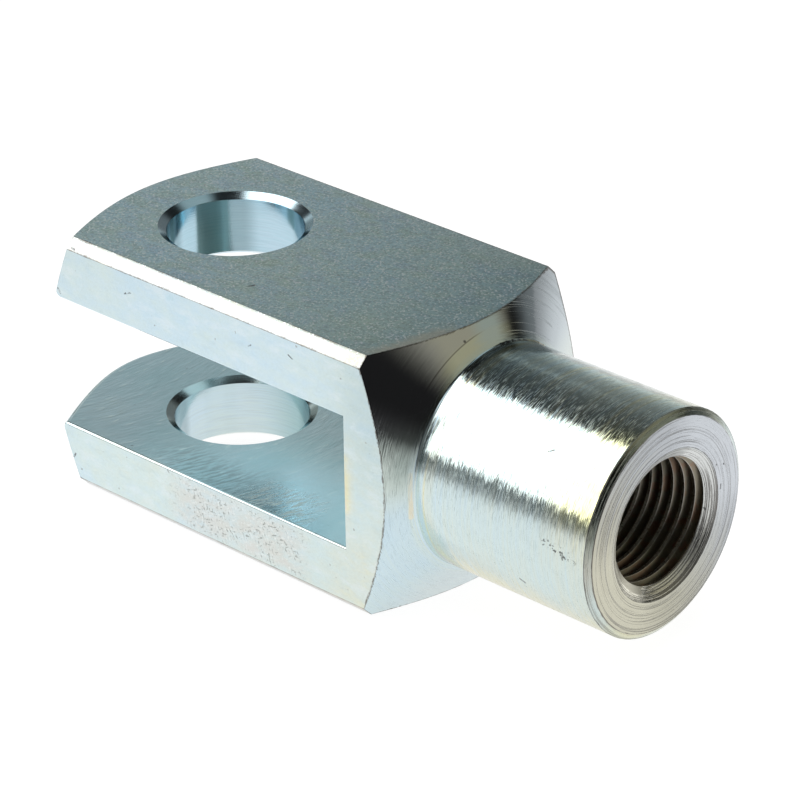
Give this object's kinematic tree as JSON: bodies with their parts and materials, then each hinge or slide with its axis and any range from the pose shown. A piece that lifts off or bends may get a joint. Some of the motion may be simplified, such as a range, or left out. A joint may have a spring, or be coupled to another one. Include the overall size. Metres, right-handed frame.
{
  "type": "clevis rod end",
  "caption": "Square-bodied fork with a cross hole through both arms, a tapered shoulder and a round neck threaded inside, linking a threaded rod to a pinned tongue.",
  "frame": {"origin": "on the cross hole's axis, midway between the arms", "axes": "+Z along the cross hole, +X along the rod's thread from the fork to the neck's open end, +Y across the bar"},
  "size_m": [0.0835, 0.032, 0.032],
  "materials": {
    "zinc_plated_steel": "bright zinc plate with a faint blue and yellow tint over machined steel, finely turned on the neck and smooth on the flats"
  },
  "bodies": {
    "root": {"clevis_body": "zinc_plated_steel"}
  },
  "joints": []
}
